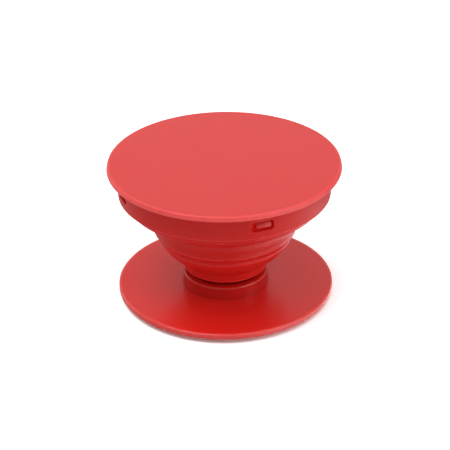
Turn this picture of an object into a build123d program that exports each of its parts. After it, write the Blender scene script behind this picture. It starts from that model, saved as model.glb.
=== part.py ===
# Collapsible phone grip: an adhesive pad, a base, a folding bellows that swivels on it and a snap-on cap.
# Millimetres. The origin is the centre of the pad's underside, and +Z is the axis of the grip.
import os
from math import atan2, cos, radians, sin

from build123d import *

# Whole grip, pulled out
open_height = 24.7

# Adhesive pad
pad_diameter = 34.0
pad_thickness = 0.8

# Base platform: disc, collar and the split snap post inside the collar
base_diameter = 37.4
base_thickness = 1.0
base_top_rounding = 0.35
base_under_rounding = 0.15
collar_height = 2.3
collar_wall = 1.45
collar_outer_rounding = 0.35
collar_inner_rounding = 0.6
post_diameter = 5.6
post_core_diameter = 2.6
post_slot_width = 0.8
hook_overhang = 0.55
hook_land = 0.35
hook_lead_height = 0.6
hook_lead_inset = 0.7

# Bellows: foot, neck and folding rings, from the inside out.
# The heights of rings and folds are in proportion, and stretch to reach the open height.
foot_floor = 0.9
foot_play = 0.1
swivel_clearance = 0.08
neck_diameter = 10.4
neck_gap = 0.8
neck_height = 3.49
wall = 0.9
lip_overhang = 2.15
lower_ring_flare = 0.1
lower_ring_height = 1.11
lower_ring_bulge = 0.04
lower_fold_step = 0.95
lower_fold_height = 1.0
lower_fold_depth = 0.1
middle_ring_flare = 3.1
middle_ring_height = 3.33
middle_ring_bulge = 0.32
middle_fold_step = 0.8
middle_fold_height = 1.51
middle_fold_depth = 0.25
upper_ring_flare = 0.85
upper_ring_height = 3.11
upper_ring_sway = 0.13
upper_fold_step = 3.45
upper_fold_height = 2.25
upper_fold_depth = 0.22
band_flare = 0.5
band_height = 0.88
ring_edge_rounding = 0.2

# Skirt of the bellows, with a window in each quarter
skirt_step = 1.1
skirt_drop = 0.77
skirt_groove_depth = 0.2
skirt_lip = 0.7
skirt_wall = 0.8
skirt_height = 4.55
skirt_edge_rounding = 0.15
window_width = 3.7
window_height = 1.72
window_corner = 0.45
window_sill = 1.38

# Cap: disc, plug ring and the snap tabs that show in the windows
cap_overhang = 1.8
cap_thickness = 0.9
cap_top_rounding = 0.25
cap_under_rounding = 0.2
plug_clearance = 0.1
plug_wall = 0.9
plug_depth = 3.3
plug_end_gap = 0.4
plug_rounding = 0.25
tab_left_gap = 0.85
tab_right_gap = 0.25
tab_sill_gap = 0.42
tab_head_gap = 0.2
tab_recess = 0.28
tab_face_height = 0.56
tab_face_lean = 0.08
tab_slope_depth = 0.45

# Base and foot, worked out from the sizes above
base_top = pad_thickness + base_thickness
neck_radius = neck_diameter / 2
neck_inner = neck_radius - wall
collar_inner = neck_radius + neck_gap
collar_outer = collar_inner + collar_wall
core_radius = post_core_diameter / 2
post_radius = post_diameter / 2
hook_radius = post_radius + hook_overhang
hook_under = base_top + foot_floor + foot_play
hook_rim = hook_under + hook_land
post_top = hook_rim + hook_lead_height
foot_hole = post_radius + swivel_clearance
foot_top = base_top + foot_floor
neck_top = base_top + neck_height
shelf_top = neck_top + wall

# How far the rings and folds stretch between the neck and the skirt
skirt_top = open_height - cap_thickness
skirt_bottom = skirt_top - skirt_height
ring_heights = lower_ring_height + middle_ring_height + upper_ring_height + band_height
fold_heights = lower_fold_height + middle_fold_height + upper_fold_height + skirt_drop
stretch = (skirt_bottom - neck_top) / (ring_heights + fold_heights)


def stepped(point, across, height):
    """The point that lies further out by across and higher by the stretched height."""
    return (point[0] + across, point[1] + stretch * height)


# Ends of the rings on the outside of the bellows, as radius and height
lower_bottom = (neck_radius + lip_overhang, neck_top)
lower_top = stepped(lower_bottom, lower_ring_flare, lower_ring_height)
middle_bottom = stepped(lower_top, lower_fold_step, lower_fold_height)
middle_top = stepped(middle_bottom, middle_ring_flare, middle_ring_height)
upper_bottom = stepped(middle_top, middle_fold_step, middle_fold_height)
upper_middle = stepped(upper_bottom, upper_ring_flare / 2, upper_ring_height / 2)
upper_top = stepped(upper_bottom, upper_ring_flare, upper_ring_height)
band_bottom = stepped(upper_top, upper_fold_step, upper_fold_height)
band_top = stepped(band_bottom, band_flare, band_height)
skirt_corner = stepped(band_top, skirt_step, skirt_drop)
skirt_rim = stepped(skirt_corner, -skirt_lip, 0)

# Skirt, windows and cap, worked out from the rings
skirt_radius = skirt_corner[0]
skirt_inner = skirt_radius - skirt_wall
window_bottom = skirt_bottom + window_sill
window_middle = window_bottom + window_height / 2
cap_radius = skirt_radius + cap_overhang
plug_outer = skirt_inner - plug_clearance
plug_middle = plug_outer - plug_wall / 2
plug_seat = skirt_top - plug_depth - plug_end_gap
tab_width = window_width - tab_left_gap - tab_right_gap
tab_shift = (tab_left_gap - tab_right_gap) / 2
tab_bottom = window_bottom + tab_sill_gap
tab_top = window_bottom + window_height - tab_head_gap
tab_peak = skirt_radius - tab_recess
quarter_turns = [0, 90, 180, 270]


def set_back(bottom, top):
    """The ends of a ring's inner face, a wall's thickness square to the line from bottom to top."""
    slope = atan2(top[0] - bottom[0], top[1] - bottom[1])
    across, up = -wall * cos(slope), wall * sin(slope)
    return [(radius + across, height + up) for radius, height in (bottom, top)]


def radial_plane(angle):
    """The upright plane through the axis, with its first direction outward at the given angle."""
    turn = radians(angle)
    return Plane(origin=(0, 0, 0), x_dir=(cos(turn), sin(turn), 0), z_dir=(sin(turn), -cos(turn), 0))


def corners(sketch, points):
    """The corners of a sketch that lie at the given points."""
    return [sketch.vertices().sort_by_distance(point)[0] for point in points]


lower_inside = set_back(lower_bottom, lower_top)
middle_inside = set_back(middle_bottom, middle_top)
upper_inside = set_back(upper_bottom, upper_top)
band_inside = set_back(band_bottom, band_top)

# Adhesive pad
with BuildPart() as pad:
    with BuildSketch(Plane.XY):
        Circle(pad_diameter / 2)
    extrude(amount=pad_thickness)

# Base platform
with BuildPart() as base:
    with BuildSketch(Plane.XY.offset(pad_thickness)):
        Circle(base_diameter / 2)
    extrude(amount=base_thickness)
    fillet(base.edges().group_by(Axis.Z)[-1], base_top_rounding)
    fillet(base.edges().group_by(Axis.Z)[0], base_under_rounding)

    with BuildSketch(Plane.XY.offset(base_top)):
        Circle(collar_outer)
        Circle(collar_inner, mode=Mode.SUBTRACT)
    extrude(amount=collar_height)
    collar_rims = base.edges().group_by(Axis.Z)[-1].sort_by(SortBy.RADIUS)
    fillet(collar_rims[-1], collar_outer_rounding)
    fillet(collar_rims[0], collar_inner_rounding)

    # The snap post: a hooked tube, split into four fingers by a cross slot
    with BuildSketch(Plane.XZ):
        with BuildLine():
            Polyline(
                (core_radius, base_top),
                (post_radius, base_top),
                (post_radius, hook_under),
                (hook_radius, hook_under),
                (hook_radius, hook_rim),
                (hook_radius - hook_lead_inset, post_top),
                (core_radius, post_top),
                close=True,
            )
        make_face()
    revolve(axis=Axis.Z)
    with BuildSketch(Plane.XY.offset(base_top)):
        Rectangle(post_slot_width, 2 * hook_radius)
        Rectangle(2 * hook_radius, post_slot_width)
    extrude(amount=post_top - base_top, mode=Mode.SUBTRACT)

# Bellows: the outside from the foot up to the skirt, then the inside back down
with BuildPart() as bellows:
    with BuildSketch(Plane.XZ) as section:
        with BuildLine():
            Polyline(
                (foot_hole, foot_top),
                (foot_hole, base_top),
                (neck_radius, base_top),
                (neck_radius, neck_top),
                lower_bottom,
            )
            SagittaArc(lower_bottom, lower_top, -lower_ring_bulge)
            SagittaArc(lower_top, middle_bottom, lower_fold_depth)
            SagittaArc(middle_bottom, middle_top, -middle_ring_bulge)
            SagittaArc(middle_top, upper_bottom, middle_fold_depth)
            SagittaArc(upper_bottom, upper_middle, upper_ring_sway)
            SagittaArc(upper_middle, upper_top, -upper_ring_sway)
            SagittaArc(upper_top, band_bottom, upper_fold_depth)
            Line(band_bottom, band_top)
            SagittaArc(band_top, skirt_rim, skirt_groove_depth)
            Polyline(
                skirt_rim,
                skirt_corner,
                (skirt_radius, skirt_top),
                (skirt_inner, skirt_top),
                (skirt_inner, plug_seat),
                band_inside[1],
                band_inside[0],
                upper_inside[1],
                upper_inside[0],
                middle_inside[1],
            )
            SagittaArc(middle_inside[1], middle_inside[0], middle_ring_bulge)
            Polyline(
                middle_inside[0],
                lower_inside[1],
                (lower_inside[0][0], shelf_top),
                (neck_inner, shelf_top),
                (neck_inner, foot_top),
                (foot_hole, foot_top),
            )
        make_face()
        fillet(corners(section, [lower_bottom, middle_top, upper_bottom, band_bottom]), ring_edge_rounding)
        fillet(corners(section, [skirt_corner]), skirt_edge_rounding)
    revolve(axis=Axis.Z)
    for angle in quarter_turns[:2]:
        with BuildSketch(radial_plane(angle)):
            with Locations((0, window_middle)):
                RectangleRounded(window_width, window_height, window_corner)
        extrude(amount=cap_radius, both=True, mode=Mode.SUBTRACT)

# Cap
with BuildPart() as cap:
    with BuildSketch(Plane.XY.offset(skirt_top)):
        Circle(cap_radius)
    extrude(amount=cap_thickness)
    fillet(cap.edges().group_by(Axis.Z)[-1], cap_top_rounding)
    fillet(cap.edges().group_by(Axis.Z)[0], cap_under_rounding)

    with BuildSketch(Plane.XY.offset(skirt_top)):
        Circle(plug_outer)
        Circle(plug_outer - plug_wall, mode=Mode.SUBTRACT)
    extrude(amount=-plug_depth)
    fillet(cap.edges().group_by(Axis.Z)[0], plug_rounding)

    for angle in quarter_turns:
        with BuildSketch(radial_plane(angle).offset(-tab_shift)):
            with BuildLine():
                Polyline(
                    (plug_middle, tab_bottom),
                    (tab_peak - tab_face_lean, tab_bottom),
                    (tab_peak, tab_bottom + tab_face_height),
                    (tab_peak - tab_slope_depth, tab_top),
                    (plug_middle, tab_top),
                    close=True,
                )
            make_face()
        extrude(amount=tab_width / 2, both=True)

pad.part.label = "adhesive_pad"
base.part.label = "base_platform"
bellows.part.label = "bellows"
cap.part.label = "cap"

os.makedirs("parts", exist_ok=True)
export_step(pad.part, "parts/adhesive_pad.step")
export_step(base.part, "parts/base_platform.step")
export_step(bellows.part, "parts/bellows.step")
export_step(cap.part, "parts/cap.step")
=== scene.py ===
# Looks of a collapsible phone grip: its pad, base, bellows and cap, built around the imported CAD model.
from math import asin, atan, atan2, cos, hypot, pi, radians, sin, tau

import bmesh
import bpy
from bpy.props import FloatProperty, FloatVectorProperty, PointerProperty
from bpy.types import Operator, Panel, PropertyGroup
from mathutils import Matrix, Vector


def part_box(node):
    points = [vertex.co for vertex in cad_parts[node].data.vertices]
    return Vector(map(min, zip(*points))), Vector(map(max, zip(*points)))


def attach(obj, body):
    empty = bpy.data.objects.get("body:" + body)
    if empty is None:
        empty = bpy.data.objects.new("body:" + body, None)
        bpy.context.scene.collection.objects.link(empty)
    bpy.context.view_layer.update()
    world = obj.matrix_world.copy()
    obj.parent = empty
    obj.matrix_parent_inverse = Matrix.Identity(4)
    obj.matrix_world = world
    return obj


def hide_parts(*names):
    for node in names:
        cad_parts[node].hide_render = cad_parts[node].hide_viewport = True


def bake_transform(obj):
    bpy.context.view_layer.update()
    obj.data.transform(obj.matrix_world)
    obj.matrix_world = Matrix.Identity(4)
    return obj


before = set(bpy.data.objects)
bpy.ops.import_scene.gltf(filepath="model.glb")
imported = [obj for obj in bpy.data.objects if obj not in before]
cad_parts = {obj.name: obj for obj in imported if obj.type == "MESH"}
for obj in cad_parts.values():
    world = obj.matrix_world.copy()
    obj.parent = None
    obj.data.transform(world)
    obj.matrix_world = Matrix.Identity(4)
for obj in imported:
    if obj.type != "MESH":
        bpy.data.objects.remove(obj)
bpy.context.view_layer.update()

bl_info = {
    "name": "Collapsible Phone Grip",
    "version": (1, 0, 0),
    "blender": (4, 5, 0),
    "location": "View3D > Sidebar > Phone Grip",
    "description": "Builds the pad, base, bellows and cap of a collapsible phone grip",
    "category": "Add Mesh",
}

# Places of the CAD nodes, in metres
pad_low, pad_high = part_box("adhesive_pad")
base_low, base_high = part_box("base_platform")
bellows_low, bellows_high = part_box("bellows")
cap_low, cap_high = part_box("cap")

# How finely the meshes are divided
ROUND_COLUMNS = 192
COLUMNS_BETWEEN_WINDOWS = 44
WINDOW_CORNER_LINES = 5
WINDOW_SIDE_LINES = 8
ARC_STEPS = 12
FOLD_STEPS = 6
BEND_STEPS = 4
BEVEL_STEPS = 3
FINGER_COLUMNS = 10
SHARP_ANGLE = radians(38)

# Where windows, tabs and post fingers repeat
QUARTER_TURNS = [quarter * pi / 2 for quarter in range(4)]

# Small lengths in the meshes, in metres
CREASE = 0.00006
SAME_PLACE = 1e-9
WINDOW_MARGIN = 0.0004

# Where the points that hold the shading lie beside a rounding, in shares of it
HOLD = 0.6
HOLD_CLEAR = 0.3

# Loops of a window: shares of the way to its edge, and steps out of and into the edge in roundings
WINDOW_FACE_PARTS = (0.35, 0.7, 1.0)
WINDOW_HOLD = 1.6
WINDOW_EDGE = ((1.0, 0.0), (0.29, 0.29), (0.0, 1.0), (0.0, 2.0))

# How light scatters under the plastics' skin
SCATTER_WEIGHT = 0.3
SCATTER_RADIUS = (1.0, 0.12, 0.08)
SCATTER_DEPTH = 0.0005

# Noise: the middle of its values, and cells to the metre
NOISE_MIDDLE = 0.5
CLOUD_SCALE = 160.0
SCALE_OF_HIGHLIGHT_AND_WEAR = 420.0
FOAM_CLOUD_SCALE = 240.0

# How painted highlights, painted shade and worn patches show in the plastics
EDGE_POINTINESS = (0.504, 0.52)
CORNER_POINTINESS = (0.532, 0.543)
EDGE_HIGHLIGHT_SATURATION = 0.97
EDGE_HIGHLIGHT_FADE = 0.0004
RIM_HIGHLIGHT_SATURATION = 0.93
RIM_WIDTH = 0.0007
RIM_POLISH = 0.08
LEAST_HIGHLIGHT_AND_WEAR = 0.45
SPREAD_OF_HIGHLIGHT_AND_WEAR = 0.8
COLLAR_FADE = 0.0004
COLLAR_SHADE_VALUE = 0.78
COLLAR_POLISH = 0.06

# How the foam looks
CELL_SHADE = 0.82
CELL_STRENGTH = 0.8
CELL_DEPTH = 0.00005
FOAM_ROUGHNESS = 0.62
FOAM_ROUGHNESS_SPREAD = 0.2

# Stage
WHITE = (1.0, 1.0, 1.0, 1.0)
FLOOR_ROUGHNESS = 0.6
FLOOR_DROP = 0.00002
CAMERA_CLIP = (0.01, 10.0)
LIGHT_DISTANCE = 0.85


# Settings


def length(name, description, default):
    """A size in metres that a user can change."""
    return FloatProperty(
        name=name, description=description, default=default, min=0.0, precision=5, unit="LENGTH"
    )


def lengths(name, description, default):
    """Several sizes in metres that belong to one form."""
    return FloatVectorProperty(
        name=name, description=description, default=default, size=len(default), precision=5, unit="LENGTH"
    )


def share(name, description, default):
    """A number from 0 to 1 that a user can change."""
    return FloatProperty(
        name=name, description=description, default=default, min=0.0, max=1.0, subtype="FACTOR"
    )


def number(name, description, default, low=0.0):
    """A number that a user can change."""
    return FloatProperty(name=name, description=description, default=default, min=low)


def angled(name, description, default):
    """An angle that a user can change."""
    return FloatProperty(name=name, description=description, default=default, subtype="ANGLE")


def colour(name, description, default):
    """A colour that a user can change."""
    return FloatVectorProperty(
        name=name, description=description, default=(*default, 1.0), size=4, min=0.0, max=1.0, subtype="COLOR"
    )


class GripPadSettings(PropertyGroup):
    """Sizes and colour of the adhesive pad."""

    diameter: length("Diameter", "Across the foam pad", pad_high.x - pad_low.x)
    edge_dip: length("Edge dip", "How far the cut edge curves in between its two faces", 0.00006)
    edge_rounding: length("Edge rounding", "Rounding of the cut edge", 0.00008)
    cell: length("Foam cell", "Size of the cells in the foam", 0.00022)
    foam: colour("Foam", "Colour of the foam", (0.74, 0.73, 0.69))


class GripBaseSettings(PropertyGroup):
    """Sizes and finish of the base disc, its collar and its snap post."""

    diameter: length("Diameter", "Across the base disc", base_high.x - base_low.x)
    rim_rounding: length("Rim rounding", "Rounding of the disc's upper edge", 0.00035)
    under_rounding: length("Lower rounding", "Rounding of the disc's lower edge", 0.00015)
    collar_inside: length("Collar inside", "Across the inside of the collar", 0.012)
    collar_wall: length("Collar wall", "Thickness of the collar", 0.00145)
    collar_rounding: lengths("Collar rounding", "Rounding of the collar's outer and inner edge",
                             (0.00035, 0.0005))
    post_diameter: length("Post", "Across the snap post", 0.0056)
    post_core: length("Post core", "Across the hole down the post", 0.0026)
    post_slot: length("Post slot", "Width of the slots that split the post", 0.0008)
    hook: lengths("Hook", "The hook's overhang, its underside, rim and top over the disc, and its lead-in",
                  (0.00055, 0.001, 0.00135, 0.00195, 0.0007))
    plastic: colour("Plastic", "Colour of the base", (0.73, 0.017, 0.0115))
    roughness: share("Roughness", "Roughness of the satin plastic", 0.24)


class GripBellowsSettings(PropertyGroup):
    """Sizes and finish of the folding bellows."""

    neck_diameter: length("Neck", "Across the neck", 0.0104)
    neck_height: length("Neck height", "From the base disc up to the lowest ring", 0.00328)
    lip: length("Lip", "How far the lowest ring stands out over the neck", 0.00215)
    foot_hole: length("Foot hole", "Across the hole that turns on the post", 0.00576)
    foot_floor: length("Foot floor", "Thickness of the foot", 0.0009)
    wall: length("Wall", "Thickness of the rings", 0.0009)
    lower_ring: lengths("Lower ring", "Flare, height and bulge", (0.0001, 0.00132, 0.00004))
    lower_fold: lengths("Lower fold", "Step, height and depth", (0.00095, 0.001, 0.0001))
    middle_ring: lengths("Middle ring", "Flare, height and bulge", (0.0031, 0.00333, 0.00032))
    middle_fold: lengths("Middle fold", "Step, height and depth", (0.0008, 0.00151, 0.00025))
    upper_ring: lengths("Upper ring", "Flare, height and sway", (0.00085, 0.00311, 0.00004))
    upper_fold: lengths("Upper fold", "Step, height and depth", (0.00345, 0.00225, 0.00022))
    band: lengths("Band", "Flare and height of the narrow band", (0.0005, 0.00076))
    groove: lengths("Groove", "Step, height and depth under the skirt", (0.0004, 0.00089, 0.00022))
    skirt_wall: length("Skirt wall", "Thickness of the skirt", 0.0008)
    skirt_rounding: length("Skirt rounding", "Rounding of the skirt's lower edge", 0.00015)
    ring_rounding: length("Ring rounding", "Rounding of the rings' edges", 0.00024)
    plug_seat: length("Plug seat", "How far the skirt's inside reaches down from its top", 0.0037)
    window: lengths("Window", "Width, height, corner and sill of a window",
                    (0.0037, 0.00172, 0.00045, 0.00138))
    window_rounding: length("Window rounding", "Rounding of the window's outer edge", 0.00018)
    fold_zone: lengths("Fold zone", "Heights over the base disc between which the wall folds",
                       (0.0045, 0.0175))
    elastomer: colour("Elastomer", "Colour of the bellows", (0.70, 0.0165, 0.013))
    roughness: share("Roughness", "Roughness of the moulded elastomer", 0.3)


class GripCapSettings(PropertyGroup):
    """Sizes and finish of the cap, its plug ring and its snap tabs."""

    diameter: length("Diameter", "Across the cap", cap_high.x - cap_low.x)
    thickness: length("Thickness", "Thickness of the disc", 0.0009)
    rim_draft: length("Rim draft", "How much narrower the disc is at its upper edge", 0.0002)
    top_rounding: length("Upper rounding", "Rounding of the disc's upper edge", 0.00025)
    under_rounding: length("Lower rounding", "Rounding of the disc's lower edge", 0.0002)
    plug_outside: length("Plug ring", "Across the outside of the plug ring", 0.0346)
    plug_wall: length("Plug wall", "Thickness of the plug ring", 0.0009)
    plug_rounding: length("Plug rounding", "Rounding of the plug ring's lower edges", 0.00025)
    tab_width: length("Tab width", "Width of a snap tab", 0.0026)
    tab_shift: length("Tab shift", "How far a tab sits to the right in its window", 0.00024)
    tab_span: lengths("Tab span", "Lower end, peak and upper end of a tab, down from the disc",
                      (0.00275, 0.00214, 0.00156))
    tab_reach: lengths("Tab reach", "Radius of a tab's lower end, peak and upper end",
                       (0.01794, 0.01802, 0.0175))
    tab_rounding: length("Tab rounding", "Rounding of a tab's edges", 0.00014)
    pad_span: lengths("Tab pad span", "Lower and upper end of the pad behind a tab, down from the disc",
                      (0.00315, 0.00147))
    pad_width: length("Tab pad width", "Width of the pad behind a tab", 0.00366)
    pad_corner: length("Tab pad corner", "Rounding of the pad's corners", 0.00043)
    pad_reach: length("Tab pad reach", "Radius of the pad's face", 0.01774)
    plastic: colour("Plastic", "Colour of the cap", (0.69, 0.0155, 0.0125))
    # The window pads' colour is a lighter copy of the cap's plastic: painted light in the shaded window
    # recesses.
    window_painted_lighter: colour("Window painted lighter", "Colour of the matt pads behind the tabs", (0.78, 0.0115, 0.0095))
    roughness: share("Roughness", "Roughness of the matt grain", 0.52)
    tab_roughness: share("Tab roughness", "Roughness of the snap tabs", 0.28)
    window_roughness: share("Window roughness", "Roughness of the pads behind the tabs", 0.6)


class GripStageSettings(PropertyGroup):
    """Floor, light and camera."""

    floor: colour("Floor", "Colour of the floor", (0.6, 0.6, 0.6))
    floor_radius: length("Floor radius", "From the grip's axis to the floor's edge", 2.0)
    hole_margin: length("Hole margin", "How far the pad covers the edge of the hole under it", 0.0003)
    fade: lengths("Fade", "Where the floor starts to fade for the camera and where it has gone", (0.3, 0.6))
    floor_gain: number("Floor gain", "How bright the camera sees the floor", 2.8)
    mirror_gain: number("Mirror gain", "How bright reflections see the floor", 0.65)
    pool_gain: number("Pool gain", "How bright reflections see the pool of light beside the grip", 3.6)
    pool_place: lengths("Pool place", "Middle of the pool of light", (0.0255, -0.0176, 0.0))
    pool_edge: lengths("Pool edge", "Where the pool starts to fade and where it ends", (0.014, 0.034))
    surround: share("Surround", "Brightness of the pale room around the grip", 0.46)
    brightness: number("Brightness", "Strength of all the soft lights", 1.0)
    lens: number("Lens", "Focal length in millimetres", 135.0, low=1.0)
    azimuth: angled("Azimuth", "Where the camera stands round the grip", radians(-19.7))
    pitch: angled("Pitch", "How far the camera looks down", radians(29.02))
    roll: angled("Roll", "How far the camera leans", -0.0135)
    camera_distance: length("Camera distance", "From the grip's axis, level with the ground", 0.255)
    camera_height: length("Camera height", "Above the base disc", 0.152)


# Outlines, made of runs: lists of (radius, height) points


def straight_runs(points, roundings):
    """Straight runs from point to point, each with the rounding of the corner at its end."""
    return [([start, end], rounding) for start, end, rounding in zip(points, points[1:], roundings)]


def creased_runs(*points):
    """Straight runs from point to point with a crease at each corner."""
    return straight_runs(points, [CREASE] * len(points))


def bowed(start, end, bulge, steps):
    """A run along an arc whose middle lies off the straight line by bulge, to the right of the way."""
    across, up = end[0] - start[0], end[1] - start[1]
    half = 2 * atan(2 * bulge / hypot(across, up))
    run = []
    for step in range(steps + 1):
        turn = half * (2 * step / steps - 1)
        along = 0.5 + sin(turn) / (2 * sin(half))
        off = (cos(turn) - cos(half)) / (2 * sin(half))
        run.append((start[0] + across * along + up * off, start[1] + up * along - across * off))
    return run


def marks_along(run):
    """How far along the run each of its points lies."""
    marks = [0.0]
    for start, end in zip(run, run[1:]):
        marks.append(marks[-1] + hypot(end[0] - start[0], end[1] - start[1]))
    return marks


def point_along(run, distance):
    """The point that lies at the given distance along the run."""
    marks = marks_along(run)
    index = max(i for i, mark in enumerate(marks[:-1]) if mark <= distance or i == 0)
    part = (distance - marks[index]) / (marks[index + 1] - marks[index])
    start, end = run[index], run[index + 1]
    return (start[0] + (end[0] - start[0]) * part, start[1] + (end[1] - start[1]) * part)


def shortened(run, before, after):
    """The run without a piece at each end, with an extra point near each cut to hold its shading."""
    marks = marks_along(run)
    first, last = before, marks[-1] - after
    hold_first, hold_last = first + HOLD * before, last - HOLD * after
    places = [first]
    if before and hold_first < last:
        places.append(hold_first)
    clear_first, clear_last = hold_first + HOLD_CLEAR * before, hold_last - HOLD_CLEAR * after
    places += [mark for mark in marks if clear_first < mark < clear_last]
    if after and hold_last > places[-1]:
        places.append(hold_last)
    places.append(last)
    return [point_along(run, place) for place in places]


def bend(start, corner, end):
    """The points of a smooth bend between two runs, without its ends."""
    points = []
    for step in range(1, BEND_STEPS):
        part = step / BEND_STEPS
        weights = ((1 - part) ** 2, 2 * part * (1 - part), part**2)
        pairs = list(zip(weights, (start, corner, end)))
        points.append(tuple(sum(weight * point[i] for weight, point in pairs) for i in (0, 1)))
    return points


def eased(path, loop=False):
    """One outline from (run, rounding of the corner at its end) pairs that meet end to end."""
    outline = []
    count = len(path)
    for index, (run, rounding) in enumerate(path):
        before = path[index - 1][1] if loop or index else 0.0
        after = rounding if loop or index < count - 1 else 0.0
        outline += shortened(run, before, after)
        if after:
            following = path[(index + 1) % count][0]
            outline += bend(outline[-1], run[-1], point_along(following, after))
    return outline


# Meshes


def turned(bm, outline, angles, loop=False, left_out=frozenset()):
    """Turns an outline about the axis, without the faces left out; gives its vertices by row and column."""
    rows = []
    for radius, height in outline:
        if radius < SAME_PLACE:
            rows.append([bm.verts.new((0.0, 0.0, height))] * len(angles))
        else:
            rows.append([bm.verts.new((radius * cos(a), radius * sin(a), height)) for a in angles])
    for i in range(len(rows) if loop else len(rows) - 1):
        lower, upper = rows[i], rows[(i + 1) % len(rows)]
        for j in range(len(angles)):
            if (i, j) not in left_out:
                k = (j + 1) % len(angles)
                bm.faces.new(dict.fromkeys((lower[j], lower[k], upper[k], upper[j])))
    return rows


def bridged(bm, loops):
    """Joins loops of equally many vertices, each to the next."""
    for near, far in zip(loops, loops[1:]):
        for j in range(len(near)):
            k = (j + 1) % len(near)
            bm.faces.new((near[j], near[k], far[k], far[j]))


def round_columns():
    """Evenly spaced angles for a plain turned piece."""
    return [tau * i / ROUND_COLUMNS for i in range(ROUND_COLUMNS)]


def spaced(start, end, steps):
    """Evenly spaced values from start to end, both included."""
    return [start + (end - start) * i / steps for i in range(steps + 1)]


def as_object(name, bm, *materials):
    """Puts a finished mesh into the scene."""
    mesh = bpy.data.meshes.new(name)
    bm.to_mesh(mesh)
    bm.free()
    for material in materials:
        mesh.materials.append(material)
    made = bpy.data.objects.new(name, mesh)
    bpy.context.scene.collection.objects.link(made)
    return made


def as_piece(name, bm, *materials):
    """Makes a shown piece of a finished mesh, smooth apart from its sharp edges."""
    bmesh.ops.delete(bm, geom=[v for v in bm.verts if not v.link_faces], context="VERTS")
    bmesh.ops.recalc_face_normals(bm, faces=bm.faces)
    if not all(edge.is_manifold for edge in bm.edges):
        raise RuntimeError(f"{name} has an open edge")
    for face in bm.faces:
        face.smooth = True
    for edge in bm.edges:
        edge.smooth = edge.calc_face_angle() < SHARP_ANGLE
    return as_object(name, bm, *materials)


# Materials


def new_group(name, inputs, outputs):
    """An empty shader node group with the given sockets, its input node and its output node."""
    group = bpy.data.node_groups.new(name, "ShaderNodeTree")
    for label, kind, value in inputs:
        socket = group.interface.new_socket(name=label, in_out="INPUT", socket_type="NodeSocket" + kind)
        socket.default_value = value
    for label, kind in outputs:
        group.interface.new_socket(name=label, in_out="OUTPUT", socket_type="NodeSocket" + kind)
    return group, group.nodes.new("NodeGroupInput"), group.nodes.new("NodeGroupOutput")


def new_material(name):
    """A material with only its Principled shader, and its node tree."""
    material = bpy.data.materials.new(name)
    material.use_nodes = True
    return material, material.node_tree


def feed(tree, node, inputs):
    """Gives a node's inputs their values, or links them to other nodes' outputs."""
    for label, value in inputs.items():
        if isinstance(value, bpy.types.NodeSocket):
            tree.links.new(value, node.inputs[label])
        else:
            node.inputs[label].default_value = value


def add_node(tree, kind, inputs, **options):
    """A new shader node with its options set and its inputs fed."""
    node = tree.nodes.new("ShaderNode" + kind)
    for option, value in options.items():
        setattr(node, option, value)
    feed(tree, node, inputs)
    return node


def piece_place(tree):
    """Where a point lies on its own piece."""
    return tree.nodes.new("ShaderNodeTexCoord").outputs["Object"]


def maths(tree, operation, *values):
    """The output of a Math node."""
    return add_node(tree, "Math", dict(enumerate(values)), operation=operation).outputs[0]


def noise(tree, place, scale, detail, roughness):
    """The value of a noise texture."""
    inputs = {"Vector": place, "Scale": scale, "Detail": detail, "Roughness": roughness}
    return add_node(tree, "TexNoise", inputs).outputs["Fac"]


def ramp(tree, value, start, end, low=0.0, high=1.0, kind="LINEAR"):
    """A value that goes from low to high while another goes from start to end."""
    inputs = {"Value": value, "From Min": start, "From Max": end, "To Min": low, "To Max": high}
    return add_node(tree, "MapRange", inputs, interpolation_type=kind).outputs["Result"]


def toned(tree, shade, mask, value, saturation=1.0):
    """A colour with its value and saturation changed where a mask is set."""
    inputs = {"Color": shade, "Fac": mask, "Value": value, "Saturation": saturation}
    return add_node(tree, "HueSaturation", inputs).outputs["Color"]


def moulded_skin():
    """The group for moulded plastic: fine tool grain, with faint clouds in its colour and roughness."""
    found = bpy.data.node_groups.get("Moulded skin")
    if found:
        return found
    group, given, result = new_group(
        "Moulded skin",
        [
            ("Colour", "Color", (0.6, 0.02, 0.02, 1.0)),
            ("Grain size", "Float", 0.0002),
            ("Clouds", "Float", 0.1),
            ("Roughness", "Float", 0.4),
            ("Roughness spread", "Float", 0.1),
        ],
        [("Colour", "Color"), ("Roughness", "Float"), ("Height", "Float")],
    )
    asked = given.outputs
    place = piece_place(group)
    grain_scale = maths(group, "DIVIDE", 1.0, asked["Grain size"])
    grain = noise(group, place, grain_scale, detail=3.0, roughness=0.65)
    clouds = noise(group, place, CLOUD_SCALE, detail=3.0, roughness=0.5)
    cloud_shift = maths(group, "SUBTRACT", clouds, NOISE_MIDDLE)
    grain_shift = maths(group, "SUBTRACT", grain, NOISE_MIDDLE)
    value = maths(group, "MULTIPLY_ADD", cloud_shift, asked["Clouds"], 1.0)
    tint = add_node(group, "HueSaturation", {"Color": asked["Colour"], "Value": value})
    both = maths(group, "ADD", cloud_shift, grain_shift)
    rough = maths(group, "MULTIPLY_ADD", both, asked["Roughness spread"], asked["Roughness"])
    feed(group, result, {"Colour": tint.outputs["Color"], "Roughness": rough, "Height": grain})
    return group


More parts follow.
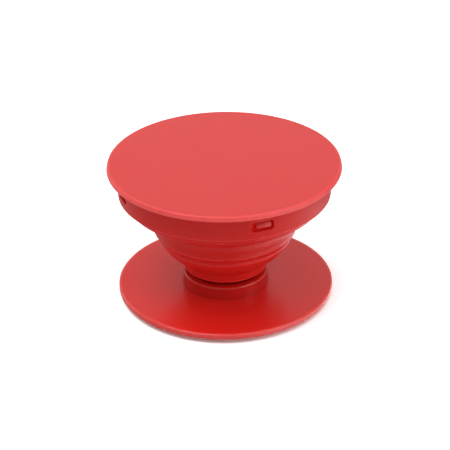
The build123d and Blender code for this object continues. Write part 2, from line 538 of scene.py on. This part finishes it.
def rim_highlight_and_polish():
    """The group for a rim with a painted highlight and lower roughness in worn patches: a mask that ends at a
    radius, and the distance from the axis.
    """
    found = bpy.data.node_groups.get("Rim highlight and polish")
    if found:
        return found
    group, given, result = new_group(
        "Rim highlight and polish",
        [("Radius", "Float", 0.02), ("Width", "Float", 0.0006)],
        [("Mask", "Float"), ("Distance", "Float")],
    )
    asked = given.outputs
    place = piece_place(group)
    parts = add_node(group, "SeparateXYZ", {"Vector": place}).outputs
    square_x = maths(group, "MULTIPLY", parts["X"], parts["X"])
    distance = maths(group, "SQRT", maths(group, "MULTIPLY_ADD", parts["Y"], parts["Y"], square_x))
    start = maths(group, "SUBTRACT", asked["Radius"], asked["Width"])
    near = ramp(group, distance, start, asked["Radius"], kind="SMOOTHSTEP")
    patches = noise(group, place, SCALE_OF_HIGHLIGHT_AND_WEAR, detail=2.0, roughness=0.6)
    highlight_and_wear = maths(group, "MULTIPLY_ADD", patches, SPREAD_OF_HIGHLIGHT_AND_WEAR, LEAST_HIGHLIGHT_AND_WEAR)
    feed(group, result, {"Mask": maths(group, "MULTIPLY", near, highlight_and_wear), "Distance": distance})
    return group


def painted_edge_highlights(tree, edge_highlight_top):
    """A mask for painted highlights on the soft outward edges of a piece, up to a height."""
    pointiness = tree.nodes.new("ShaderNodeNewGeometry").outputs["Pointiness"]
    soft_edges = ramp(tree, pointiness, *EDGE_POINTINESS)
    off_corners = ramp(tree, pointiness, *CORNER_POINTINESS, 1.0, 0.0)
    height = add_node(tree, "SeparateXYZ", {"Vector": piece_place(tree)}).outputs["Z"]
    below = ramp(tree, height, edge_highlight_top, edge_highlight_top + EDGE_HIGHLIGHT_FADE, 1.0, 0.0)
    return maths(tree, "MULTIPLY", maths(tree, "MULTIPLY", soft_edges, off_corners), below)


def moulded_plastic(name, shade, roughness, *, spread, clouds, grain_size, grain_depth, specular,
                    rim_radius=None, rim_highlight_value=1.0, collar_radius=None, edge_highlight_value=None, edge_highlight_top=0.0):
    """A moulded plastic with its grain and, where asked for, painted highlights on its soft edges and rim,
    lower roughness in worn patches on the rim, and painted shade with lower roughness at a collar.
    """
    material, tree = new_material(name)
    skin = add_node(tree, "Group", {
        "Colour": shade,
        "Grain size": grain_size,
        "Clouds": clouds,
        "Roughness": roughness,
        "Roughness spread": spread,
    }, node_tree=moulded_skin()).outputs
    bump = add_node(tree, "Bump", {"Strength": 1.0, "Distance": grain_depth, "Height": skin["Height"]})
    tint, rough = skin["Colour"], skin["Roughness"]
    if edge_highlight_value is not None:
        # Painted highlight on the soft outward edges: lighter colour where the piece bends outward, below a
        # height.
        tint = toned(tree, tint, painted_edge_highlights(tree, edge_highlight_top), edge_highlight_value, EDGE_HIGHLIGHT_SATURATION)
    if rim_radius is not None:
        asked = {"Radius": rim_radius, "Width": RIM_WIDTH}
        rim = add_node(tree, "Group", asked, node_tree=rim_highlight_and_polish()).outputs
        # Painted highlight along the rim: lighter, paler colour in patches; the lower roughness there is the
        # rim's worn polish.
        tint = toned(tree, tint, rim["Mask"], rim_highlight_value, RIM_HIGHLIGHT_SATURATION)
        rough = maths(tree, "MULTIPLY_ADD", rim["Mask"], -RIM_POLISH, rough)
        if collar_radius is not None:
            # Painted shade on the collar's outer wall and in the corner at its foot; the lower roughness over
            # the collar is its polish.
            off_collar = maths(tree, "ABSOLUTE", maths(tree, "SUBTRACT", rim["Distance"], collar_radius))
            tint = toned(tree, tint, ramp(tree, off_collar, 0.0, COLLAR_FADE, 1.0, 0.0), COLLAR_SHADE_VALUE)
            fade_end = collar_radius + COLLAR_FADE
            polish = ramp(tree, rim["Distance"], collar_radius, fade_end, -COLLAR_POLISH, 0.0)
            rough = maths(tree, "ADD", rough, polish)
    feed(tree, tree.nodes["Principled BSDF"], {
        "Base Color": tint,
        "Roughness": rough,
        "Normal": bump.outputs["Normal"],
        "Specular IOR Level": specular,
        "Subsurface Weight": SCATTER_WEIGHT,
        "Subsurface Radius": SCATTER_RADIUS,
        "Subsurface Scale": SCATTER_DEPTH,
    })
    return material


def pad_foam(settings):
    """White acrylic foam: closed cells that pit its face and its cut edge."""
    material, tree = new_material("Pad foam")
    place = piece_place(tree)
    cells = add_node(tree, "TexVoronoi", {"Vector": place, "Scale": 1 / settings.cell}).outputs["Distance"]
    clouds = noise(tree, place, FOAM_CLOUD_SCALE, detail=3.0, roughness=0.55)
    tint = add_node(tree, "Mix", {
        "A": settings.foam,
        "B": [CELL_SHADE * part for part in settings.foam[:3]] + [1.0],
        "Factor": maths(tree, "MULTIPLY", cells, clouds),
    }, data_type="RGBA")
    bump = add_node(tree, "Bump", {"Strength": CELL_STRENGTH, "Distance": CELL_DEPTH, "Height": cells})
    feed(tree, tree.nodes["Principled BSDF"], {
        "Base Color": tint.outputs["Result"],
        "Roughness": maths(tree, "MULTIPLY_ADD", clouds, FOAM_ROUGHNESS_SPREAD, FOAM_ROUGHNESS),
        "Normal": bump.outputs["Normal"],
    })
    return material


# Pieces


class GRIP_OT_pad(Operator):
    """Build the foam pad that sticks the grip to a phone"""

    bl_idname = "grip.pad"
    bl_label = "Adhesive Pad"

    def execute(self, context):
        settings = context.scene.grip_pad
        radius = settings.diameter / 2
        under, over = pad_low.z, pad_high.z
        outline = eased([
            ([(0.0, under), (radius, under)], settings.edge_rounding),
            (bowed((radius, under), (radius, over), -settings.edge_dip, ARC_STEPS), settings.edge_rounding),
            ([(radius, over), (0.0, over)], 0.0),
        ])
        bm = bmesh.new()
        turned(bm, outline, round_columns())
        piece = as_piece("grip_pad", bm, pad_foam(settings))
        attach(piece, "platform")
        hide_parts("adhesive_pad")
        return {"FINISHED"}


def post_finger(bm, turn, settings, disc_top):
    """One of the hooked fingers of the snap post, between two of its slots."""
    overhang, hook_under, hook_rim, hook_top, lead = settings.hook
    core, outside = settings.post_core / 2, settings.post_diameter / 2
    section = [
        (core, -CREASE),
        (outside, -CREASE),
        (outside, hook_under),
        (outside + overhang, hook_under),
        (outside + overhang, hook_rim),
        (outside + overhang - lead, hook_top),
        (core, hook_top),
    ]
    columns = []
    for part in spaced(0.0, 1.0, FINGER_COLUMNS):
        column = []
        for radius, height in section:
            edge = asin(settings.post_slot / 2 / radius)
            angle = turn + edge + (pi / 2 - 2 * edge) * part
            column.append(bm.verts.new((radius * cos(angle), radius * sin(angle), disc_top + height)))
        columns.append(column)
    bridged(bm, columns)
    bm.faces.new(columns[0])
    bm.faces.new(columns[-1])


class GRIP_OT_base(Operator):
    """Build the base disc with its collar and snap post"""

    bl_idname = "grip.base"
    bl_label = "Base Platform"

    def execute(self, context):
        settings = context.scene.grip_base
        radius = settings.diameter / 2
        under, over, top = base_low.z, bellows_low.z, base_high.z
        inside = settings.collar_inside / 2
        outside = inside + settings.collar_wall
        disc = [(0.0, under), (radius, under), (radius, over)]
        collar = [(outside, over), (outside, top), (inside, top), (inside, over)]
        roundings = [settings.under_rounding, settings.rim_rounding, 0.0, *settings.collar_rounding, 0.0, 0.0]
        outline = eased(straight_runs([*disc, *collar, (0.0, over)], roundings))
        bm = bmesh.new()
        turned(bm, outline, round_columns())
        for turn in QUARTER_TURNS:
            post_finger(bm, turn, settings, over)
        # The base gets a painted highlight along its rim and painted shade round its collar.
        finish = moulded_plastic(
            "Base satin", settings.plastic, settings.roughness, spread=0.06, clouds=0.06,
            grain_size=0.00035, grain_depth=0.0000015, specular=0.6,
            rim_radius=radius, rim_highlight_value=1.18, collar_radius=outside,
        )
        piece = as_piece("grip_base", bm, finish)
        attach(piece, "platform")
        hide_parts("base_platform")
        return {"FINISHED"}


def set_back(bottom, top, wall):
    """The ends of a ring's inner face, a wall's thickness square to the line from bottom to top."""
    slope = atan2(top[0] - bottom[0], top[1] - bottom[1])
    across, up = -wall * cos(slope), wall * sin(slope)
    return [(radius + across, height + up) for radius, height in (bottom, top)]


class SkirtWindow:
    """The opening that repeats in each quarter of the skirt, and the grid of lines round it."""

    def __init__(self, settings, skirt_bottom):
        width, height, self.corner, sill = settings.window
        self.half = (width / 2, height / 2)
        self.middle = skirt_bottom + sill + height / 2
        self.rounding = settings.window_rounding
        self.across = self.grid_lines(self.half[0])
        self.up = self.grid_lines(self.half[1])

    def grid_lines(self, half):
        """Lines of the grid in one direction, closer together at the window's corners."""
        core, border = half - self.corner, half + WINDOW_MARGIN
        before = spaced(-border, -core, WINDOW_CORNER_LINES)[:-1]
        after = spaced(core, border, WINDOW_CORNER_LINES)[1:]
        return before + spaced(-core, core, WINDOW_SIDE_LINES) + after

    def heights(self):
        """Heights of the grid's rows."""
        return [self.middle + up for up in self.up]

    def columns(self, radius):
        """Angles of all columns round the skirt, starting with a window's own in each quarter."""
        near = [asin(across / radius) for across in self.across]
        gap = spaced(near[-1], pi / 2 + near[0], COLUMNS_BETWEEN_WINDOWS)[1:-1]
        return [turn + angle for turn in QUARTER_TURNS for angle in near + gap]

    def border(self):
        """Column and row of each point round the grid's edge, in order."""
        last_column, last_row = len(self.across) - 1, len(self.up) - 1
        bottom = [(column, 0) for column in range(last_column)]
        right = [(last_column, row) for row in range(last_row)]
        top = [(column, last_row) for column in range(last_column, 0, -1)]
        left = [(0, row) for row in range(last_row, 0, -1)]
        return bottom + right + top + left

    def edge(self, column, row, grow):
        """The point of the opening's edge nearest to a point of the grid, moved outward by grow."""
        place = Vector((self.across[column], self.up[row]))
        core = Vector([max(-h + self.corner, min(h - self.corner, p)) for h, p in zip(self.half, place)])
        return core + (place - core).normalized() * (self.corner + grow)

    def vertex(self, bm, turn, place, radius):
        """A new vertex at a place (across, up) of the window, at a radius."""
        angle = turn + asin(place[0] / radius)
        return bm.verts.new((radius * cos(angle), radius * sin(angle), self.middle + place[1]))

    def face_loops(self, bm, turn, radius, start_loop, grow):
        """Loops on the skirt's face, from the grid's edge to the opening's edge."""
        loops = [start_loop]
        for part in WINDOW_FACE_PARTS:
            loop = []
            for (column, row), vertex in zip(self.border(), start_loop):
                begin = Vector((radius * sin(atan2(vertex.co.y, vertex.co.x) - turn), self.up[row]))
                loop.append(self.vertex(bm, turn, begin.lerp(self.edge(column, row, grow), part), radius))
            loops.append(loop)
        return loops

    def cut(self, bm, turn, outer_loop, inner_loop, outer_radius, inner_radius):
        """Lines one opening, from the skirt's outer face through the wall to its inner face."""
        ease = self.rounding
        loops = self.face_loops(bm, turn, outer_radius, outer_loop, WINDOW_HOLD * ease)
        for grow, depth in WINDOW_EDGE:
            places = [self.edge(column, row, grow * ease) for column, row in self.border()]
            loops.append([self.vertex(bm, turn, place, outer_radius - depth * ease) for place in places])
        loops += reversed(self.face_loops(bm, turn, inner_radius, inner_loop, 0.0))
        bridged(bm, loops)


class GRIP_OT_bellows(Operator):
    """Build the folding bellows with the windows in its skirt"""

    bl_idname = "grip.bellows"
    bl_label = "Bellows"

    def execute(self, context):
        settings = context.scene.grip_bellows
        foot, top = bellows_low.z, bellows_high.z
        skirt_radius = bellows_high.x
        outline, skirt_bottom = self.outline(settings, foot, top, skirt_radius)
        window = SkirtWindow(settings, skirt_bottom)
        heights = window.heights()
        radii = (skirt_radius, skirt_radius - settings.skirt_wall)
        for radius in radii:
            outline = self.with_rows(outline, heights, radius)
        outer_rows, inner_rows = (
            [self.row_at(outline, radius, height) for height in heights] for radius in radii
        )
        angles = window.columns(skirt_radius)
        per_quarter = len(angles) // len(QUARTER_TURNS)
        firsts = range(0, len(angles), per_quarter)
        columns = [first + column for first in firsts for column in range(len(window.across) - 1)]
        left_out = {(row, column) for row in outer_rows[:-1] + inner_rows[1:] for column in columns}
        bm = bmesh.new()
        rows = turned(bm, outline, angles, loop=True, left_out=left_out)
        for first, turn in zip(firsts, QUARTER_TURNS):
            loops = (
                [rows[places[row]][first + column] for column, row in window.border()]
                for places in (outer_rows, inner_rows)
            )
            window.cut(bm, turn, *loops, *radii)
        third_of_sill = settings.window[3] / 3
        # The bellows' edges below the windows get a painted highlight.
        finish = moulded_plastic(
            "Bellows elastomer", settings.elastomer, settings.roughness, spread=0.12, clouds=0.14,
            grain_size=0.00025, grain_depth=0.000006, specular=0.28,
            edge_highlight_value=1.34, edge_highlight_top=skirt_bottom + third_of_sill,
        )
        piece = as_piece("grip_bellows", bm, finish)
        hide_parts("bellows")
        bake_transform(piece)
        return {"FINISHED"}

    def outline(self, s, foot, top, skirt_radius):
        """The closed outline of the wall, up its outside and down its inside, and the skirt's lower edge."""
        neck, hole = s.neck_diameter / 2, s.foot_hole / 2
        neck_top, foot_top = foot + s.neck_height, foot + s.foot_floor
        shelf_top = neck_top + s.wall
        neck_inside = neck - s.wall

        def step(point, form):
            return (point[0] + form[0], point[1] + form[1])

        lower_bottom = (neck + s.lip, neck_top)
        lower_top = step(lower_bottom, s.lower_ring)
        middle_bottom = step(lower_top, s.lower_fold)
        middle_top = step(middle_bottom, s.middle_ring)
        upper_bottom = step(middle_top, s.middle_fold)
        upper_middle = step(upper_bottom, [part / 2 for part in s.upper_ring])
        upper_top = step(upper_bottom, s.upper_ring)
        band_bottom = step(upper_top, s.upper_fold)
        band_top = step(band_bottom, s.band)
        skirt_rim = step(band_top, s.groove)
        skirt_bottom = skirt_rim[1]
        skirt_inside = skirt_radius - s.skirt_wall
        seat = top - s.plug_seat
        lower_inside = set_back(lower_bottom, lower_top, s.wall)
        middle_inside = set_back(middle_bottom, middle_top, s.wall)
        upper_inside = set_back(upper_bottom, upper_top, s.wall)
        band_inside = set_back(band_bottom, band_top, s.wall)
        sway = s.upper_ring[2]
        upper_run = bowed(upper_bottom, upper_middle, -sway, FOLD_STEPS)
        upper_run += bowed(upper_middle, upper_top, sway, FOLD_STEPS)[1:]
        edge = s.ring_rounding
        path = creased_runs((hole, foot_top), (hole, foot), (neck, foot), (neck, neck_top))
        path += [
            ([(neck, neck_top), lower_bottom], edge),
            (bowed(lower_bottom, lower_top, s.lower_ring[2], ARC_STEPS), CREASE),
            (bowed(lower_top, middle_bottom, -s.lower_fold[2], FOLD_STEPS), CREASE),
            (bowed(middle_bottom, middle_top, s.middle_ring[2], ARC_STEPS), edge),
            (bowed(middle_top, upper_bottom, -s.middle_fold[2], FOLD_STEPS), edge),
            (upper_run, CREASE),
            (bowed(upper_top, band_bottom, -s.upper_fold[2], FOLD_STEPS), edge),
            ([band_bottom, band_top], CREASE),
            (bowed(band_top, skirt_rim, -s.groove[2], FOLD_STEPS), CREASE),
            ([skirt_rim, (skirt_radius, skirt_bottom)], s.skirt_rounding),
        ]
        skirt = [(skirt_radius, skirt_bottom), (skirt_radius, top), (skirt_inside, top), (skirt_inside, seat)]
        path += creased_runs(*skirt, *reversed(band_inside), *reversed(upper_inside), middle_inside[1])
        path.append((bowed(middle_inside[1], middle_inside[0], -s.middle_ring[2], FOLD_STEPS), CREASE))
        shelf = [(lower_inside[0][0], shelf_top), (neck_inside, shelf_top), (neck_inside, foot_top)]
        path += creased_runs(middle_inside[0], lower_inside[1], *shelf, (hole, foot_top))
        return eased(path, loop=True), skirt_bottom

    def with_rows(self, outline, heights, radius):
        """The outline with a row at each of the heights on its upright stretch at a radius."""
        made = []
        for start, end in zip(outline, outline[1:] + outline[:1]):
            made.append(start)
            if max(abs(start[0] - radius), abs(end[0] - radius)) < SAME_PLACE:
                low, high = sorted((start[1], end[1]))
                between = sorted((h for h in heights if low < h < high), reverse=end[1] < start[1])
                made += [(radius, height) for height in between]
        return made

    def row_at(self, outline, radius, height):
        """Which row of the outline lies at a radius and height."""
        away = [hypot(point[0] - radius, point[1] - height) for point in outline]
        return away.index(min(away))


def snap_tab(bm, turn, settings, disc_under):
    """One snap tab: a wedge on the plug ring with rounded edges and its peak in the window."""
    root = (settings.plug_outside - settings.plug_wall) / 2
    foot, peak, head = settings.tab_reach
    low, middle, high = (disc_under - drop for drop in settings.tab_span)
    wedge = [(root, low), (foot, low), (peak, middle), (head, high), (root, high)]
    outward = Matrix.Rotation(turn, 3, "Z")
    sides = []
    for side in (-0.5, 0.5):
        across = settings.tab_shift + side * settings.tab_width
        sides.append([bm.verts.new(outward @ Vector((radius, across, height))) for radius, height in wedge])
    bridged(bm, sides)
    for side in sides:
        bm.faces.new(side)
    edges = list(dict.fromkeys(edge for side in sides for vertex in side for edge in vertex.link_edges))
    faces = list(dict.fromkeys(face for edge in edges for face in edge.link_faces))
    bmesh.ops.recalc_face_normals(bm, faces=faces)
    bmesh.ops.bevel(
        bm, geom=edges, offset=settings.tab_rounding, segments=BEVEL_STEPS, profile=0.5, affect="EDGES"
    )


def tab_pad(bm, turn, settings, disc_under):
    """The shallow pad behind one snap tab, which fills the window."""
    root = (settings.plug_outside - settings.plug_wall) / 2
    low, high = (disc_under - drop for drop in settings.pad_span)
    corner = settings.pad_corner
    middle = (low + high) / 2
    across, up = settings.pad_width / 2 - corner, (high - low) / 2 - corner
    loops = []
    for radius in (root, settings.pad_reach):
        loop = []
        for quarter, (side, level) in zip(QUARTER_TURNS, ((1, 1), (-1, 1), (-1, -1), (1, -1))):
            for part in spaced(0.0, pi / 2, BEND_STEPS):
                bow = quarter + part
                angle = turn + asin((side * across + corner * cos(bow)) / radius)
                height = middle + level * up + corner * sin(bow)
                loop.append(bm.verts.new((radius * cos(angle), radius * sin(angle), height)))
        loops.append(loop)
    bridged(bm, loops)
    for loop in loops:
        bm.faces.new(loop)


class GRIP_OT_cap(Operator):
    """Build the cap with its plug ring and snap tabs"""

    bl_idname = "grip.cap"
    bl_label = "Cap"

    def execute(self, context):
        settings = context.scene.grip_cap
        radius, plug = settings.diameter / 2, settings.plug_outside / 2
        plug_inside = plug - settings.plug_wall
        top, end = cap_high.z, cap_low.z
        under = top - settings.thickness
        disc = [(0.0, top), (radius - settings.rim_draft, top), (radius, under)]
        plug_ring = [(plug, under), (plug, end), (plug_inside, end), (plug_inside, under)]
        roundings = [settings.top_rounding, settings.under_rounding, CREASE]
        roundings += [settings.plug_rounding] * 2 + [CREASE, 0.0]
        outline = eased(straight_runs([*disc, *plug_ring, (0.0, under)], roundings))
        bm = bmesh.new()
        turned(bm, outline, round_columns())
        for finish, block in ((1, snap_tab), (2, tab_pad)):
            shaped = set(bm.faces)
            for turn in QUARTER_TURNS:
                block(bm, turn, settings, under)
            for face in set(bm.faces) - shaped:
                face.material_index = finish
        # The cap's matt grain gets a painted highlight along its rim.
        grain = moulded_plastic(
            "Cap matt grain", settings.plastic, settings.roughness, spread=0.08, clouds=0.08,
            grain_size=0.0002, grain_depth=0.00001, specular=0.74, rim_radius=radius, rim_highlight_value=1.42,
        )
        satin = moulded_plastic(
            "Snap tab satin", settings.plastic, settings.tab_roughness, spread=0.06, clouds=0.06,
            grain_size=0.0002, grain_depth=0.000002, specular=0.6,
        )
        # The pads behind the tabs are a lighter copy of the cap's plastic: painted light in the window
        # recesses.
        matt = moulded_plastic(
            "Window matt painted lighter", settings.window_painted_lighter, settings.window_roughness, spread=0.06, clouds=0.06,
            grain_size=0.0002, grain_depth=0.000004, specular=0.03,
        )
        piece = as_piece("grip_cap", bm, grain, satin, matt)
        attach(piece, "top")
        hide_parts("cap")
        return {"FINISHED"}


# Stage


def floor_material(settings):
    """A pale floor, clear from below and for the camera far away, with its own gain in reflections."""
    material, tree = new_material("Pale floor")
    path = tree.nodes.new("ShaderNodeLightPath").outputs
    place = piece_place(tree)
    to_pool = add_node(tree, "VectorMath", {0: place, 1: settings.pool_place}, operation="DISTANCE")
    gains = (settings.pool_gain - 1, settings.mirror_gain - 1)
    pool = ramp(tree, to_pool.outputs["Value"], *settings.pool_edge, *gains, kind="SMOOTHSTEP")
    for_camera = maths(tree, "MULTIPLY_ADD", path["Is Camera Ray"], settings.floor_gain - 1, 1.0)
    gain = maths(tree, "MULTIPLY_ADD", path["Is Glossy Ray"], pool, for_camera)
    shade = add_node(tree, "VectorMath", {0: settings.floor[:3], "Scale": gain}, operation="SCALE")
    shader = tree.nodes["Principled BSDF"]
    feed(tree, shader, {"Base Color": shade.outputs["Vector"], "Roughness": FLOOR_ROUGHNESS})
    reach = add_node(tree, "VectorMath", {0: place}, operation="LENGTH")
    far = maths(tree, "MULTIPLY", path["Is Camera Ray"], ramp(tree, reach.outputs["Value"], *settings.fade))
    side = tree.nodes.new("ShaderNodeNewGeometry")
    unseen = maths(tree, "MAXIMUM", side.outputs["Backfacing"], far)
    clear = tree.nodes.new("ShaderNodeBsdfTransparent")
    mix = add_node(tree, "MixShader", {"Fac": unseen, 1: shader.outputs["BSDF"], 2: clear.outputs["BSDF"]})
    feed(tree, tree.nodes["Material Output"], {"Surface": mix.outputs["Shader"]})
    return material


def pale_floor(settings):
    """A plain floor with a hole under the pad, so that light from below reaches the pad."""
    bm = bmesh.new()
    turned(bm, [(settings.floor_radius, 0.0), (pad_high.x - settings.hole_margin, 0.0)], round_columns())
    floor = as_object("studio_floor", bm, floor_material(settings))
    floor.location.z = -FLOOR_DROP


# Azimuth from the camera and elevation in degrees, size in metres, radiance
SOFT_LIGHTS = {
    "high_front_right": (45, 66, (0.5, 0.42), 1.48),
    "high_front_left": (-45, 66, (0.5, 0.42), 2.31),
    "high_left": (-90, 66, (0.5, 0.42), 1.80),
    "high_back_left": (-135, 66, (0.5, 0.42), 0.87),
    "middle_right": (70, 38, (0.42, 0.4), 1.54),
    "low_right": (60, 11, (0.6, 0.28), 1.96),
    "low_back_left": (-120, 11, (0.6, 0.28), 1.43),
    "low_back": (180, 11, (0.6, 0.28), 1.44),
}


def softbox(name, azimuth, elevation, size, radiance):
    """A rectangular soft light that looks at the grip."""
    light = bpy.data.lights.new(name, "AREA")
    light.shape = "RECTANGLE"
    light.size, light.size_y = size
    light.energy = radiance * pi * size[0] * size[1]
    lamp = bpy.data.objects.new(name, light)
    middle = Vector((0.0, 0.0, cap_high.z / 2))
    away = Vector((sin(azimuth) * cos(elevation), -cos(azimuth) * cos(elevation), sin(elevation)))
    lamp.location = middle + LIGHT_DISTANCE * away
    lamp.rotation_euler = away.to_track_quat("Z", "Y").to_euler()
    lamp.visible_camera = False
    bpy.context.scene.collection.objects.link(lamp)


def pale_room(settings):
    """An even pale surround, plain white where the camera looks past the floor."""
    world = bpy.data.worlds.new("Pale room")
    world.use_nodes = True
    tree = world.node_tree
    glow = tree.nodes["Background"]
    feed(tree, glow, {"Strength": settings.surround, "Color": WHITE})
    plain = add_node(tree, "Background", {"Color": WHITE})
    for_camera = tree.nodes.new("ShaderNodeLightPath").outputs["Is Camera Ray"]
    mix = add_node(tree, "MixShader", {"Fac": for_camera, 1: glow.outputs[0], 2: plain.outputs[0]})
    feed(tree, tree.nodes["World Output"], {"Surface": mix.outputs["Shader"]})
    bpy.context.scene.world = world


def studio_camera(settings):
    """The camera at the photograph's angle."""
    data = bpy.data.cameras.new("studio_camera")
    data.lens = settings.lens
    data.clip_start, data.clip_end = CAMERA_CLIP
    camera = bpy.data.objects.new("studio_camera", data)
    turn, distance = settings.azimuth, settings.camera_distance
    place = Vector((distance * sin(turn), -distance * cos(turn), bellows_low.z + settings.camera_height))
    aim = Matrix.Rotation(turn, 4, "Z") @ Matrix.Rotation(pi / 2 - settings.pitch, 4, "X")
    camera.matrix_world = Matrix.Translation(place) @ aim @ Matrix.Rotation(settings.roll, 4, "Z")
    bpy.context.scene.collection.objects.link(camera)
    bpy.context.scene.camera = camera


class GRIP_OT_stage(Operator):
    """Set up the floor, the soft light and the camera"""

    bl_idname = "grip.stage"
    bl_label = "Stage"

    def execute(self, context):
        settings = context.scene.grip_stage
        pale_floor(settings)
        pale_room(settings)
        for name, (azimuth, elevation, size, radiance) in SOFT_LIGHTS.items():
            turn = settings.azimuth + radians(azimuth)
            softbox(name, turn, radians(elevation), size, settings.brightness * radiance)
        studio_camera(settings)
        context.scene.view_settings.view_transform = "Standard"
        return {"FINISHED"}


# Add-on

SETTINGS = {
    "grip_pad": GripPadSettings,
    "grip_base": GripBaseSettings,
    "grip_bellows": GripBellowsSettings,
    "grip_cap": GripCapSettings,
    "grip_stage": GripStageSettings,
}
OPERATORS = {
    "grip_pad": GRIP_OT_pad,
    "grip_base": GRIP_OT_base,
    "grip_bellows": GRIP_OT_bellows,
    "grip_cap": GRIP_OT_cap,
    "grip_stage": GRIP_OT_stage,
}


class GRIP_PT_sidebar(Panel):
    """The sidebar panel that lists the pieces and their settings"""

    bl_label = "Phone Grip"
    bl_space_type = "VIEW_3D"
    bl_region_type = "UI"
    bl_category = "Phone Grip"

    def draw(self, context):
        for name, operator in OPERATORS.items():
            box = self.layout.box()
            box.operator(operator.bl_idname)
            settings = getattr(context.scene, name)
            for prop in settings.bl_rna.properties:
                if prop.identifier not in ("name", "rna_type"):
                    box.prop(settings, prop.identifier)


CLASSES = (*SETTINGS.values(), *OPERATORS.values(), GRIP_PT_sidebar)


def register():
    for kind in CLASSES:
        bpy.utils.register_class(kind)
    for name, settings in SETTINGS.items():
        setattr(bpy.types.Scene, name, PointerProperty(type=settings))


def unregister():
    for name in SETTINGS:
        delattr(bpy.types.Scene, name)
    for kind in reversed(CLASSES):
        bpy.utils.unregister_class(kind)


def main():
    """Builds every piece and the stage."""
    register()
    bpy.ops.grip.pad()
    bpy.ops.grip.base()
    bpy.ops.grip.bellows()
    bpy.ops.grip.cap()
    bpy.ops.grip.stage()


if __name__ == "__main__":
    main()
